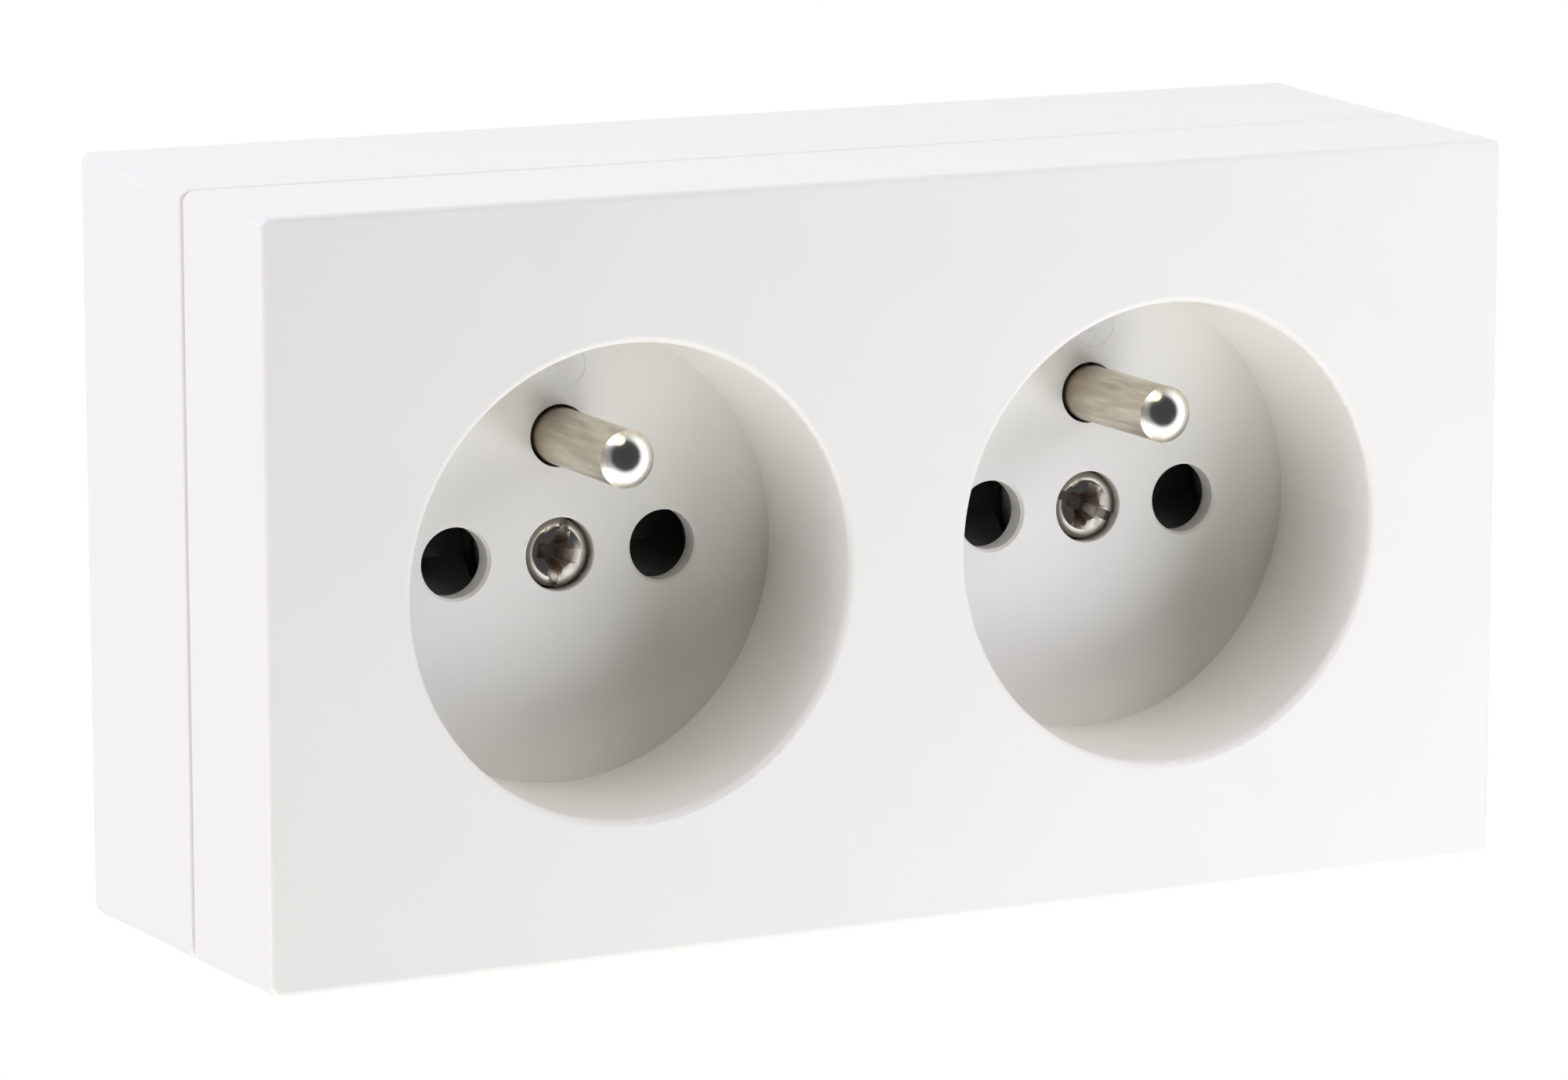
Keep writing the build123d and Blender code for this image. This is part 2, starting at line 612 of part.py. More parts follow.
def cover_screw(side):
    """Screw in the middle of a well that holds the cover to an insert in the base."""
    x = WELL_X[side]
    head_end = SCREW_SEAT + COVER_SCREW_HEAD_T
    screw = rod(x, WELL_Z, COVER_SCREW_R, SCREW_SEAT - COVER_SCREW_L, SCREW_SEAT)
    screw += rod(x, WELL_Z, COVER_SCREW_HEAD_R, SCREW_SEAT, head_end)
    screw = fillet(round_edges(screw, head_end, COVER_SCREW_HEAD_R), SCREW_EDGE_R)
    return screw - driver_recess(x, WELL_Z, head_end, SLOT_ANGLE[side])


def threaded_insert(side):
    """Brass insert in the base for one cover screw, with its thread left plain."""
    x = WELL_X[side]
    start = INSERT_TOP - INSERT_T
    insert = rod(x, WELL_Z, INSERT_R, start, INSERT_TOP)
    return insert - rod(x, WELL_Z, COVER_SCREW_R + THREAD_CLEARANCE, start, INSERT_TOP)


def base_screw(side):
    """Pan-head screw that holds one ear of the base to a pillar of the wall box."""
    x = SIGN[side] * EAR_X
    seat = EAR_DEPTH + EAR_T
    screw = rod(x, WELL_Z, BASE_SCREW_R, seat - BASE_SCREW_L, seat)
    head = rod(x, WELL_Z, BASE_SCREW_HEAD_R, seat, seat + BASE_SCREW_HEAD_T)
    head = chamfer(ends_at_depth(head, seat + BASE_SCREW_HEAD_T), BASE_SCREW_EDGE)
    slot_start = seat + BASE_SCREW_HEAD_T - TERMINAL_SLOT_DEPTH
    slot = block(x, WELL_Z, 2 * BASE_SCREW_HEAD_R, TERMINAL_SLOT_T, slot_start, seat + BASE_SCREW_HEAD_T)
    return screw + head - slot


def guide_rails():
    """Two rails, a ledge and two stops that a shutter slides between, about its own centre."""
    rail_end = SHUTTER_FRONT
    rail_x = GUIDE_HALF_W - GUIDE_RAIL_T / 2
    stop_top = SHUTTER_STOP_Z + STOP_H
    inner = BOSS_R + GUIDE_BOSS_GAP
    stop_w = GUIDE_HALF_W - inner
    rails = Part()
    for side in (-1, 1):
        rail = bar_between(GUIDE_BOTTOM, stop_top, side * rail_x, GUIDE_RAIL_T)
        rails += plate(rail, GUIDE_TOP_DEPTH, rail_end)
        stop = bar_between(SHUTTER_STOP_Z, stop_top, side * (inner + stop_w / 2), stop_w)
        rails += plate(stop, GUIDE_TOP_DEPTH, GUIDE_TOP_DEPTH + STOP_T)
    ledge = bar_between(GUIDE_BOTTOM, LEDGE_TOP, 0, 2 * GUIDE_HALF_W)
    return rails + plate(ledge, GUIDE_TOP_DEPTH, rail_end)


def contact_cover(side):
    """Plate that closes one half of the base and guides that half's shutter."""
    height = GUIDE_TOP - GUIDE_BOTTOM
    middle = (GUIDE_TOP + GUIDE_BOTTOM) / 2
    outline = Pos(0, middle) * RectangleRounded(2 * GUIDE_HALF_W, height, RIB_T)
    cover = plate(outline, BASE_TOP_DEPTH, GUIDE_TOP_DEPTH) + guide_rails()
    for pin in (-1, 1):
        cover -= rod(pin * PIN_PITCH / 2, 0, GUIDE_HOLE_R, BASE_TOP_DEPTH, GUIDE_TOP_DEPTH)
        peg_start = BASE_TOP_DEPTH - GUIDE_PEG_L
        cover += rod(pin * GUIDE_PEG_X, GUIDE_PEG_Z, GUIDE_PEG_R, peg_start, BASE_TOP_DEPTH)
    cover -= rod(0, 0, BOSS_R + GUIDE_BOSS_GAP, BASE_TOP_DEPTH, GUIDE_TOP_DEPTH)
    cover -= rod(0, EARTH_OFFSET, EARTH_HOLE_R, BASE_TOP_DEPTH, GUIDE_TOP_DEPTH)
    standing = (Align.CENTER, Align.CENTER, Align.MIN)
    spigot = Pos(0, -SPRING_DEPTH, LEDGE_TOP) * Cylinder(SPIGOT_R, SPIGOT_L, align=standing)
    return Pos(WELL_X[side], 0, WELL_Z) * (cover + spigot)


def shutter(side):
    """U-shaped slide with a ramp in two slopes behind each pin hole, carried on a spring."""
    ramp = Polyline(
        (-SHUTTER_BACK, SHUTTER_BOTTOM),
        (-SHUTTER_FRONT, SHUTTER_BOTTOM),
        (-SHUTTER_FRONT, SHUTTER_RAMP_FOOT),
        (-SHUTTER_BACK - SHUTTER_KNEE_T, SHUTTER_KNEE_Z),
        (-SHUTTER_BACK - SHUTTER_EDGE_T, SHUTTER_TOP),
        (-SHUTTER_BACK, SHUTTER_TOP),
        close=True,
    )
    arm_w = SHUTTER_ARM_OUT - SHUTTER_RAMP_IN
    web_w = SHUTTER_ARM_OUT - SHUTTER_ARM_IN
    bridge = bar_between(SHUTTER_BOTTOM, SHUTTER_BRIDGE_TOP, 0, 2 * SHUTTER_ARM_OUT)
    slide = plate(bridge, SHUTTER_BACK, SHUTTER_FRONT)
    for x in (-SHUTTER_ARM_OUT, SHUTTER_RAMP_IN):
        slide += extrude(Plane.YZ.offset(x) * make_face(ramp), amount=arm_w)
    for sign in (-1, 1):
        web = bar_between(SHUTTER_BOTTOM, SHUTTER_TOP, sign * (SHUTTER_ARM_IN + web_w / 2), web_w)
        slide += plate(web, SHUTTER_BACK, SHUTTER_BACK + SHUTTER_EDGE_T)
    hanging = (Align.CENTER, Align.CENTER, Align.MAX)
    slide += Pos(0, -SPRING_DEPTH, SHUTTER_BOTTOM) * Cylinder(SPIGOT_R, SPIGOT_L, align=hanging)
    return Pos(WELL_X[side], 0, WELL_Z) * slide


def shutter_spring(side):
    """Coil spring between the ledge of a contact cover and its shutter."""
    low = LEDGE_TOP + SPRING_WIRE_R + SPRING_SEAT_GAP
    high = SHUTTER_BOTTOM - SPRING_WIRE_R - SPRING_SEAT_GAP
    coil = Helix(pitch=(high - low) / SPRING_TURNS, height=high - low, radius=SPRING_COIL_R)
    section = Plane(origin=coil @ 0, z_dir=coil % 0) * RegularPolygon(SPRING_WIRE_R, SPRING_WIRE_SIDES)
    wire = sweep(section, path=coil, is_frenet=True)
    return Pos(WELL_X[side], -SPRING_DEPTH, WELL_Z + low) * wire


def all_nodes():
    """Every piece of the socket, by name."""
    nodes = {
        "front_cover": front_cover(),
        "wall_box": wall_box(),
        "socket_base": socket_base(),
        "live_busbar": live_busbar(),
        "neutral_busbar": neutral_busbar(),
        "earth_busbar": earth_busbar(),
    }
    terminals = {
        "live": (0, LIVE_TERMINAL_Z, STRIP_TOP, TERMINAL_H),
        "neutral": (-TERMINAL_X, TERMINAL_Z, STRIP_TOP, TERMINAL_H),
        "earth": (TERMINAL_X, TERMINAL_Z, EARTH_STRIP_TOP, EARTH_TERMINAL_H),
    }
    for name, place in terminals.items():
        nodes[f"{name}_terminal"] = terminal(*place)
        nodes[f"{name}_terminal_screw"] = terminal_screw(*place)
    for index, side in enumerate(WELL_X):
        nodes[f"live_contact_{side}"] = contact_jaw(LIVE_X[index])
        nodes[f"neutral_contact_{side}"] = contact_jaw(NEUTRAL_X[index])
        nodes[f"earth_pin_{side}"] = earth_pin(side)
        nodes[f"cover_screw_{side}"] = cover_screw(side)
        nodes[f"threaded_insert_{side}"] = threaded_insert(side)
        nodes[f"base_screw_{side}"] = base_screw(side)
        nodes[f"contact_cover_{side}"] = contact_cover(side)
        nodes[f"shutter_{side}"] = shutter(side)
        nodes[f"shutter_spring_{side}"] = shutter_spring(side)
    return nodes


os.makedirs("parts", exist_ok=True)
for node_name, solid in all_nodes().items():
    export_step(solid, f"parts/{node_name}.step")
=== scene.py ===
import json
import logging
import math
from dataclasses import dataclass
from enum import Enum
from typing import Iterable, Mapping, Sequence, Union

import bpy
from mathutils import Matrix, Vector

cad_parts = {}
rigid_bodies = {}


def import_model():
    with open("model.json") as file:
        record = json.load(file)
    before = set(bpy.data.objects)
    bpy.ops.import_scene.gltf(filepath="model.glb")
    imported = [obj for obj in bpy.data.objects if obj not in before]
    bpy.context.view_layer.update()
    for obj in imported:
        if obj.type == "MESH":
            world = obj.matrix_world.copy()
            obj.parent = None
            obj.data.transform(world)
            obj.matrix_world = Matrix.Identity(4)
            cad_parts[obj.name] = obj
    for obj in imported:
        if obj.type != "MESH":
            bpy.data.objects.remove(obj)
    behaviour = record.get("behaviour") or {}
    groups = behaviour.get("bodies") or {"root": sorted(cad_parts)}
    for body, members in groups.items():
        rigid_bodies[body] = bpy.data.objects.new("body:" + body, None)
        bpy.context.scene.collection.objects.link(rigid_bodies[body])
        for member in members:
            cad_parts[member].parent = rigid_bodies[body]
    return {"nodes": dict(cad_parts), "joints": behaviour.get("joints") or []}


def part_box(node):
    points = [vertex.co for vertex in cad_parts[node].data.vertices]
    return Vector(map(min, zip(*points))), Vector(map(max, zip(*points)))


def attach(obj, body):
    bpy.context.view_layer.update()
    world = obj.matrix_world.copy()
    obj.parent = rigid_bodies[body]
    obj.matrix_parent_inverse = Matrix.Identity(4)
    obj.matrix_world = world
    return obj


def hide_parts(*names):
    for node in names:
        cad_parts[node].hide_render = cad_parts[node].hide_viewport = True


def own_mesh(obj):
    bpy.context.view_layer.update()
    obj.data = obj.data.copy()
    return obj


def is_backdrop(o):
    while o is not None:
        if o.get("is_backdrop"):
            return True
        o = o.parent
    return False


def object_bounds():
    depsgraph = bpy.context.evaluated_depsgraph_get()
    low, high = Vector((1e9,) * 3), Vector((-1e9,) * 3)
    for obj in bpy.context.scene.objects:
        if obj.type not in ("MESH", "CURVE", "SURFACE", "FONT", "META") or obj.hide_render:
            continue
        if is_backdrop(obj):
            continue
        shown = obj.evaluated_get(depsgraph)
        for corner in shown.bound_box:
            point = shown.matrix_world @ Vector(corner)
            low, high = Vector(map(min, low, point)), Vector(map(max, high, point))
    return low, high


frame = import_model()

LOG = logging.getLogger("socket")
MM = 0.001
METRE = 1.0 / MM
QUARTER_TURN = math.pi / 2
HOUSING = "housing"
SIDES = ("left", "right")

# Octaves of a noise, and the level that it wanders about.
SOFT, FINE, RICH = 2.0, 3.0, 4.0
NOISE_MEAN = 0.5

# Places of the Mix node's colour sockets.
MIX_FIRST, MIX_SECOND, MIX_RESULT = 6, 7, 2

Number = Union[int, float]
Colour = tuple[float, float, float]
Span = tuple[float, float]
Settings = Mapping[str, object]
Inputs = Mapping[Union[str, int], object]


class Slot(Enum):
    """Material slots of the record."""

    HOUSING = "housing"
    BASE = "base"
    SHUTTER = "shutter"
    BRASS = "brass"
    NICKEL = "nickel"
    STEEL = "steel"


# ---- Shader maths ----


class Wire:
    """An output socket that takes part in sums, so that node maths reads like maths."""

    def __init__(self, nodes: "Nodes", socket: bpy.types.NodeSocket) -> None:
        """Keeps the socket and the builder of its tree."""
        self.nodes = nodes
        self.socket = socket

    def __add__(self, other: "Term") -> "Wire":
        """The sum."""
        return self.nodes.maths("ADD", self, other)

    def __radd__(self, other: Number) -> "Wire":
        """The sum, with the number first."""
        return self.nodes.maths("ADD", other, self)

    def __sub__(self, other: "Term") -> "Wire":
        """The difference."""
        return self.nodes.maths("SUBTRACT", self, other)

    def __rsub__(self, other: Number) -> "Wire":
        """The difference, with the number first."""
        return self.nodes.maths("SUBTRACT", other, self)

    def __mul__(self, other: "Term") -> "Wire":
        """The product."""
        return self.nodes.maths("MULTIPLY", self, other)

    def __rmul__(self, other: Number) -> "Wire":
        """The product, with the number first."""
        return self.nodes.maths("MULTIPLY", other, self)

    def __neg__(self) -> "Wire":
        """The value with its sign turned."""
        return self.nodes.maths("MULTIPLY", self, -1.0)

    def __abs__(self) -> "Wire":
        """The value without its sign."""
        return self.nodes.maths("ABSOLUTE", self)

    def sqrt(self) -> "Wire":
        """The square root."""
        return self.nodes.maths("SQRT", self)

    def ramp(self, low: float, high: float) -> "Wire":
        """A smooth rise from 0 to 1.

        Args:
            low: The value where it leaves 0.
            high: The value where it reaches 1.

        Returns:
            The risen value.
        """
        node = self.nodes.add(
            "ShaderNodeMapRange",
            {"interpolation_type": "SMOOTHSTEP", "clamp": True},
            {"Value": self, "From Min": low, "From Max": high},
        )
        return Wire(self.nodes, node.outputs["Result"])


Term = Union[Wire, Number]


class Nodes:
    """Builds the nodes of one tree."""

    def __init__(self, tree: bpy.types.NodeTree) -> None:
        """Keeps the tree."""
        self.tree = tree

    def add(
        self, kind: str, settings: Settings | None = None, inputs: Inputs | None = None
    ) -> bpy.types.Node:
        """Adds one node.

        Args:
            kind: The node's class name.
            settings: Properties of the node, which are set first.
            inputs: Values or links for its inputs, by name or by place.

        Returns:
            The new node.
        """
        node = self.tree.nodes.new(kind)
        for name, value in (settings or {}).items():
            setattr(node, name, value)
        self.wire(node, inputs or {})
        return node

    def wire(self, node: bpy.types.Node, inputs: Inputs) -> None:
        """Feeds several inputs of one node.

        Args:
            node: The node.
            inputs: Values or links for its inputs, by name or by place.
        """
        for key, value in inputs.items():
            self.feed(node.inputs[key], value)

    def feed(self, socket: bpy.types.NodeSocket, value: object) -> None:
        """Links a wire or socket to an input, or sets the input's own value.

        Args:
            socket: The input.
            value: A wire, an output socket or a plain value.
        """
        if isinstance(value, Wire):
            self.tree.links.new(value.socket, socket)
        elif isinstance(value, bpy.types.NodeSocket):
            self.tree.links.new(value, socket)
        else:
            socket.default_value = value

    def out(
        self,
        kind: str,
        output: str,
        settings: Settings | None = None,
        inputs: Inputs | None = None,
    ) -> Wire:
        """Adds one node and gives one of its outputs.

        Args:
            kind: The node's class name.
            output: Name of the output.
            settings: Properties of the node, which are set first.
            inputs: Values or links for its inputs, by name or by place.

        Returns:
            The output.
        """
        return Wire(self, self.add(kind, settings, inputs).outputs[output])

    def maths(self, operation: str, *terms: Term) -> Wire:
        """One Math node."""
        inputs = dict(enumerate(terms))
        return self.out("ShaderNodeMath", "Value", {"operation": operation}, inputs)

    def vector(self, operation: str, *terms: object) -> Wire:
        """One Vector Math node."""
        inputs = dict(enumerate(terms))
        return self.out("ShaderNodeVectorMath", "Vector", {"operation": operation}, inputs)

    def dot(self, first: object, second: object) -> Wire:
        """The dot product of two vectors."""
        inputs = {0: first, 1: second}
        return self.out("ShaderNodeVectorMath", "Value", {"operation": "DOT_PRODUCT"}, inputs)

    def mix(self, share: Term, first: object, second: object) -> Wire:
        """A colour between two colours.

        Args:
            share: The second colour's share.
            first: A colour or a wire.
            second: A colour or a wire.

        Returns:
            The mixed colour.
        """
        node = self.add("ShaderNodeMix", {"data_type": "RGBA"}, {0: share})
        for place, value in ((MIX_FIRST, first), (MIX_SECOND, second)):
            self.feed(node.inputs[place], (*value, 1.0) if isinstance(value, tuple) else value)
        return Wire(self, node.outputs[MIX_RESULT])

    def place(self) -> Wire:
        """The point being shaded, in metres, in the object's own frame."""
        return self.out("ShaderNodeTexCoord", "Object")

    def parts(self, vector: Wire) -> tuple[Wire, Wire, Wire]:
        """The x, y and z of a vector."""
        node = self.add("ShaderNodeSeparateXYZ", None, {0: vector})
        return tuple(Wire(self, node.outputs[axis]) for axis in "XYZ")

    def noise(
        self, size_mm: float, detail: float, stretch: Sequence[float] = (1.0, 1.0, 1.0)
    ) -> Wire:
        """Noise with features of about one size.

        Args:
            size_mm: Size of its features.
            detail: Its octaves.
            stretch: Factor of each axis; a small one draws the features out along it.

        Returns:
            The noise, about NOISE_MEAN.
        """
        scaled = self.vector("MULTIPLY", self.place(), tuple(stretch))
        inputs = {"Vector": scaled, "Scale": 1.0 / (size_mm * MM), "Detail": detail}
        return self.out("ShaderNodeTexNoise", "Fac", {"noise_dimensions": "3D"}, inputs)

    def bump(self, height: Wire, strength: float, distance_mm: float) -> Wire:
        """A normal that follows a height map.

        Args:
            height: The height map.
            strength: How much of it shows.
            distance_mm: Height of one unit of the map.

        Returns:
            The normal.
        """
        inputs = {"Strength": strength, "Distance": distance_mm * MM, "Height": height}
        return self.out("ShaderNodeBump", "Normal", None, inputs)


# ---- Finishes ----


@dataclass(frozen=True)
class Finish:
    """What all finishes share.

    Attributes:
        name: Name of the material.
        slot: The record's slot that it dresses.
        colour: Main colour, linear.
        second: Colour of its faint mottling, linear.
        roughness: Mean roughness.
        roughness_swing: How far the roughness wanders from its mean.
    """

    name: str
    slot: Slot
    colour: Colour
    second: Colour
    roughness: float
    roughness_swing: float

    def shade(self, nodes: Nodes, shader: bpy.types.Node) -> None:
        """Wires the colour, roughness and normal of the shader.

        Args:
            nodes: Builder of the material's tree.
            shader: The Principled shader.
        """
        raise NotImplementedError

    def rough(self, marks: Wire) -> Wire:
        """The roughness, which wanders with a noise."""
        return self.roughness + (marks - NOISE_MEAN) * self.roughness_swing

    def material(self) -> bpy.types.Material:
        """Makes the material.

        Returns:
            A new material with this finish.
        """
        made = bpy.data.materials.new(self.name)
        made.use_nodes = True
        made.node_tree.nodes.clear()
        nodes = Nodes(made.node_tree)
        shader = nodes.add("ShaderNodeBsdfPrincipled")
        nodes.add("ShaderNodeOutputMaterial", None, {"Surface": shader.outputs["BSDF"]})
        self.shade(nodes, shader)
        made.diffuse_color = (*self.colour, 1.0)
        LOG.info("material %s", self.name)
        return made


@dataclass(frozen=True)
class Plastic(Finish):
    """Moulded plastic with an even colour and a very fine skin.

    Attributes:
        grain_mm: Size of the skin's grain.
        grain_depth_mm: Height of the grain.
        wave_mm: Size of the skin's slow waves.
        wave_share: Height of the waves against the grain's.
        skin_bump: How much of the skin shows.
        cloud_mm: Size of the patches of the second colour.
        cloud_edge: Noise levels where a patch begins and where it is full.
        ior: Refractive index.
    """

    grain_mm: float = 0.25
    grain_depth_mm: float = 0.004
    wave_mm: float = 2.4
    wave_share: float = 1.6
    skin_bump: float = 0.5
    cloud_mm: float = 9.0
    cloud_edge: Span = (0.3, 0.7)
    ior: float = 1.48

    def shade(self, nodes: Nodes, shader: bpy.types.Node) -> None:
        """Wires the even colour and the fine skin.

        Args:
            nodes: Builder of the material's tree.
            shader: The Principled shader.
        """
        cloud = nodes.noise(self.cloud_mm, FINE).ramp(*self.cloud_edge)
        grain = nodes.noise(self.grain_mm, FINE)
        height = grain + nodes.noise(self.wave_mm, SOFT) * self.wave_share
        nodes.wire(
            shader,
            {
                "Base Color": nodes.mix(cloud, self.colour, self.second),
                "Roughness": self.rough(grain),
                "Normal": nodes.bump(height, self.skin_bump, self.grain_depth_mm),
                "IOR": self.ior,
            },
        )


@dataclass(frozen=True)
class Metal(Finish):
    """Plated or plain metal with fine working marks.

    Attributes:
        marks: How the marks are stretched along the axes; small numbers make long marks.
        mark_mm: Size of the marks.
        mark_depth_mm: Depth of the marks.
        mark_bump: How much of the marks shows.
        cloud_mm: Size of the patches of the second colour.
        cloud_edge: Noise levels where a patch begins and where it is full.
    """

    marks: tuple[float, float, float] = (1.0, 1.0, 1.0)
    mark_mm: float = 0.12
    mark_depth_mm: float = 0.004
    mark_bump: float = 0.6
    cloud_mm: float = 1.6
    cloud_edge: Span = (0.35, 0.7)

    def shade(self, nodes: Nodes, shader: bpy.types.Node) -> None:
        """Wires the mottled metal and its marks.

        Args:
            nodes: Builder of the material's tree.
            shader: The Principled shader.
        """
        marks = nodes.noise(self.mark_mm, FINE, self.marks)
        cloud = nodes.noise(self.cloud_mm, RICH).ramp(*self.cloud_edge)
        nodes.wire(
            shader,
            {
                "Base Color": nodes.mix(cloud, self.colour, self.second),
                "Roughness": self.rough(marks),
                "Normal": nodes.bump(marks, self.mark_bump, self.mark_depth_mm),
                "Metallic": 1.0,
            },
        )


@dataclass(frozen=True)
class PinNickel(Metal):
    """Nickel of an earth pin: a satin drawn shank and a polished round tip.

    Depths are in millimetres in front of the wall.

    Attributes:
        polish_edge: Depths where the tip's polish begins and where it is full.
        foot_colour: Colour of the shank's darker foot, linear.
        foot_end: Depths where the darker foot begins to fade and where it is gone.
        tip_colour: Colour of the polished tip, linear.
        tip_roughness: Roughness of the polished tip.
    """

    cloud_mm: float = 0.7
    cloud_edge: Span = (0.36, 0.64)
    polish_edge: Span = (36.90, 37.55)
    foot_colour: Colour = (0.37, 0.305, 0.235)
    foot_end: Span = (22.8, 30.0)
    tip_colour: Colour = (0.91, 0.895, 0.87)
    tip_roughness: float = 0.15

    def shade(self, nodes: Nodes, shader: bpy.types.Node) -> None:
        """Wires the darker foot, the satin shank and the polished tip.

        Args:
            nodes: Builder of the material's tree.
            shader: The Principled shader.
        """
        _, y, _ = nodes.parts(nodes.place())
        depth = -y
        polish = depth.ramp(self.polish_edge[0] * MM, self.polish_edge[1] * MM)
        past_foot = depth.ramp(self.foot_end[0] * MM, self.foot_end[1] * MM)
        satin = 1 - polish
        marks = nodes.noise(self.mark_mm, FINE, self.marks)
        cloud = nodes.noise(self.cloud_mm, RICH, self.marks).ramp(*self.cloud_edge)
        shank = nodes.mix(past_foot, self.foot_colour, nodes.mix(cloud, self.colour, self.second))
        nodes.wire(
            shader,
            {
                "Base Color": nodes.mix(polish, shank, self.tip_colour),
                "Roughness": self.rough(marks) * satin + polish * self.tip_roughness,
                "Normal": nodes.bump(marks * satin, self.mark_bump, self.mark_depth_mm),
                "Metallic": 1.0,
            },
        )


@dataclass(frozen=True)
class ScrewNickel(Metal):
    """Nickel of a cover screw: polished flats, with painted shade in the cross recess and round
    the head's edge.

    Radii, depths and places are in millimetres.

    Attributes:
        centre: How far each screw stands from the middle, and its height.
        face: Depth of the head's flat, in front of the wall.
        recess_shade: Colour deep in the cross recess, linear; painted shade.
        recess_shade_depth: Depths below the flat where the painted shade begins and where it is
            full.
        recess_shade_least: Share of the painted shade between its patches.
        recess_roughness: Roughness in the cross recess.
        recess_edge: Radii where the painted shade of the recess is full and where it ends.
        edge_shade: Colour of the head's edge, linear; painted shade on the head's rounded edge.
        edge_shade_start: Radii where the edge's painted shade begins and where it is full.
        edge_roughness: Roughness of the edge.
        dome_rise: How the polished flat falls towards its edge, per millimetre.
        dome_end: Radius past which the flat falls evenly.
    """

    cloud_mm: float = 0.7
    cloud_edge: Span = (0.3, 0.7)
    centre: Span = (25.1, -0.3)
    face: float = 23.4
    # Painted shade: darker colour deep in the cross recess.
    recess_shade: Colour = (0.42, 0.35, 0.30)
    recess_shade_depth: Span = (0.02, 0.25)
    recess_shade_least: float = 0.8
    recess_roughness: float = 0.42
    recess_edge: Span = (1.5, 2.05)
    # Painted shade: darker colour on the head's rounded edge.
    edge_shade: Colour = (0.43, 0.39, 0.34)
    edge_shade_start: Span = (2.36, 2.66)
    edge_roughness: float = 0.60
    dome_rise: float = 0.065
    dome_end: float = 1.7

    def shade(self, nodes: Nodes, shader: bpy.types.Node) -> None:
        """Wires the domed flats, and the painted shade in the cross recess and round the head's
        edge.

        Args:
            nodes: Builder of the material's tree.
            shader: The Principled shader.
        """
        x, y, z = nodes.parts(nodes.place())
        aside = abs(x) - self.centre[0] * MM
        above = z - self.centre[1] * MM
        radius = (aside * aside + above * above).sqrt()
        below = y + self.face * MM
        marks = nodes.noise(self.mark_mm, FINE, self.marks)
        cloud = nodes.noise(self.cloud_mm, FINE).ramp(*self.cloud_edge)
        # Painted shade in the cross recess, darker deeper down and inside its radius.
        deep = below.ramp(self.recess_shade_depth[0] * MM, self.recess_shade_depth[1] * MM)
        inside = 1 - radius.ramp(self.recess_edge[0] * MM, self.recess_edge[1] * MM)
        recess_shaded = deep * inside * (self.recess_shade_least + cloud * (1 - self.recess_shade_least))
        # Painted shade on the head's rounded edge.
        edge_shaded = radius.ramp(self.edge_shade_start[0] * MM, self.edge_shade_start[1] * MM)
        plain = nodes.mix(cloud, self.colour, self.second)
        either = nodes.maths("MAXIMUM", recess_shaded, edge_shaded)
        shaded_roughness = edge_shaded * self.edge_roughness + (1 - edge_shaded) * self.recess_roughness
        reach = nodes.maths("MINIMUM", radius, self.dome_end * MM)
        beyond = (radius - reach) * (2 * self.dome_rise * self.dome_end)
        fall = reach * reach * (self.dome_rise / MM) + beyond
        height = marks * (self.mark_depth_mm * MM) - fall
        nodes.wire(
            shader,
            {
                "Base Color": nodes.mix(edge_shaded, nodes.mix(recess_shaded, plain, self.recess_shade), self.edge_shade),
                "Roughness": self.rough(marks) * (1 - either) + either * shaded_roughness,
                "Normal": nodes.bump(height, 1.0, METRE),
                "Metallic": 1.0,
            },
        )


WHITE = Plastic(
    "white_plastic", Slot.HOUSING, (0.800, 0.790, 0.754), (0.808, 0.798, 0.763), 0.38, 0.10
)
GREY = Plastic(
    "grey_plastic",
    Slot.BASE,
    (0.32, 0.33, 0.34),
    (0.35, 0.355, 0.36),
    0.55,
    0.12,
    grain_depth_mm=0.01,
)
BLACK = Plastic(
    "black_plastic", Slot.SHUTTER, (0.052, 0.052, 0.053), (0.064, 0.064, 0.065), 0.22, 0.06
)
BRASS = Metal(
    "brass", Slot.BRASS, (0.80, 0.60, 0.29), (0.70, 0.50, 0.22), 0.30, 0.16, marks=(0.2, 1.0, 1.0)
)
STEEL = Metal("zinc_steel", Slot.STEEL, (0.62, 0.63, 0.64), (0.50, 0.51, 0.53), 0.30, 0.14)
SCREW_NICKEL = ScrewNickel(
    "screw_nickel",
    Slot.NICKEL,
    (0.95, 0.93, 0.89),
    (0.88, 0.84, 0.78),
    0.12,
    0.08,
    mark_depth_mm=0.002,
)
PIN_NICKEL = PinNickel(
    "pin_nickel",
    Slot.NICKEL,
    (0.76, 0.695, 0.58),
    (0.57, 0.515, 0.42),
    0.36,
    0.24,
    marks=(1.0, 0.12, 1.0),
)


class Wardrobe:
    """Makes each material once and dresses objects in it."""

    def __init__(self) -> None:
        """Starts with no material made."""
        self.made: dict[str, bpy.types.Material] = {}

    def get(self, finish: Finish) -> bpy.types.Material:
        """The material of a finish, made when it is first asked for."""
        if finish.name not in self.made:
            self.made[finish.name] = finish.material()
        return self.made[finish.name]

    def dress(self, obj: bpy.types.Object, finish: Finish) -> None:
        """Puts a finish on every face of an object."""
        obj.data.materials.clear()
        obj.data.materials.append(self.get(finish))


# ---- Meshes ----


